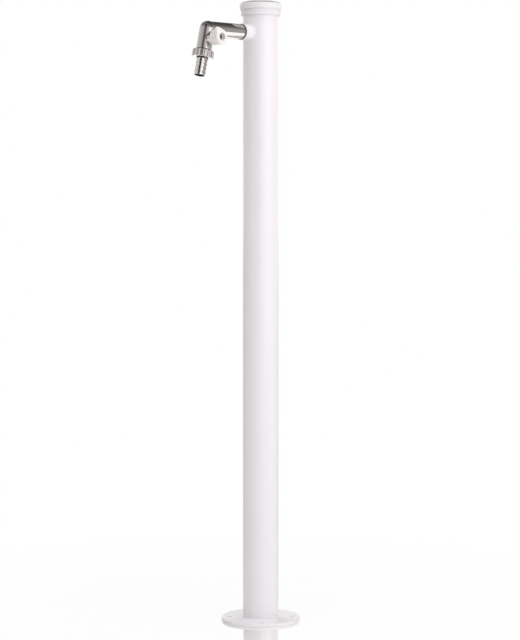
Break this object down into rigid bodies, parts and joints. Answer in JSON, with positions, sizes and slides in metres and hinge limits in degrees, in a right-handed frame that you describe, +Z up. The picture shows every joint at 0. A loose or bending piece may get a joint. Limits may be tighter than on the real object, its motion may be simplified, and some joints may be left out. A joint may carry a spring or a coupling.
{
  "type": "garden standpipe",
  "caption": "White tube standpipe on a round bolted foot, with a domed cap, an inner riser and a chromed elbow ball-valve tap that ends in a union nut and barbed hose tail.",
  "frame": {"origin": "centre of the foot plate's underside", "axes": "+Z up the column, -Y along the tap's arm, +X to the handle"},
  "size_m": [0.133, 0.2204, 1.0485],
  "materials": {
    "white_paint": "satin white powder coat",
    "cap_plastic": "smooth white moulding",
    "handle_plastic": "smooth white moulding",
    "chrome_plate": "bright chrome plate on brass",
    "screw_steel": "plated screw",
    "zinc_steel": "zinc plate",
    "bare_brass": "turned brass",
    "copper": "drawn copper",
    "black_rubber": "moulded rubber",
    "seat_plastic": "white low-friction plastic"
  },
  "bodies": {
    "standpipe": {"base_flange": "white_paint", "column_tube": "white_paint", "outlet_boss": "white_paint", "top_cap": "cap_plastic", "inlet_socket": "zinc_steel", "lower_adaptor": "bare_brass", "lower_olive": "copper", "lower_nut": "bare_brass", "riser_pipe": "copper", "upper_nut": "bare_brass", "upper_olive": "copper", "riser_elbow": "bare_brass", "inlet_washer": "black_rubber", "tap_body": "chrome_plate", "upper_seat": "seat_plastic", "lower_seat": "seat_plastic", "seat_ring": "bare_brass", "thrust_washer": "seat_plastic", "gland_nut": "chrome_plate"},
    "valve_handle": {"valve_ball": "chrome_plate", "valve_stem": "bare_brass", "stem_orings": "black_rubber", "handle": "handle_plastic", "handle_screw": "screw_steel"},
    "hose_connector": {"hose_washer": "black_rubber", "hose_tail": "chrome_plate"},
    "union_ring": {"union_nut": "chrome_plate"}
  },
  "joints": [
    {"name": "handle_turn", "type": "hinge", "parent": "standpipe", "child": "valve_handle", "pos_m": [0.03, -0.12904, 0.97683], "axis": [1, 0, 0], "range_deg": [0, 90]},
    {"name": "hose_tail_slide", "type": "slide", "parent": "standpipe", "child": "hose_connector", "axis": [0, -0.2334, -0.9724], "range_m": [0, 0.0064]},
    {"name": "union_nut_turn", "type": "hinge", "parent": "hose_connector", "child": "union_ring", "pos_m": [0, -0.1254, 0.992], "axis": [0, -0.2334, -0.9724], "range_deg": [0, 1260]}
  ],
  "couplings": [
    {"joint": "hose_tail_slide", "follows": "union_nut_turn", "m_per_rad": 0.00028871}
  ]
}
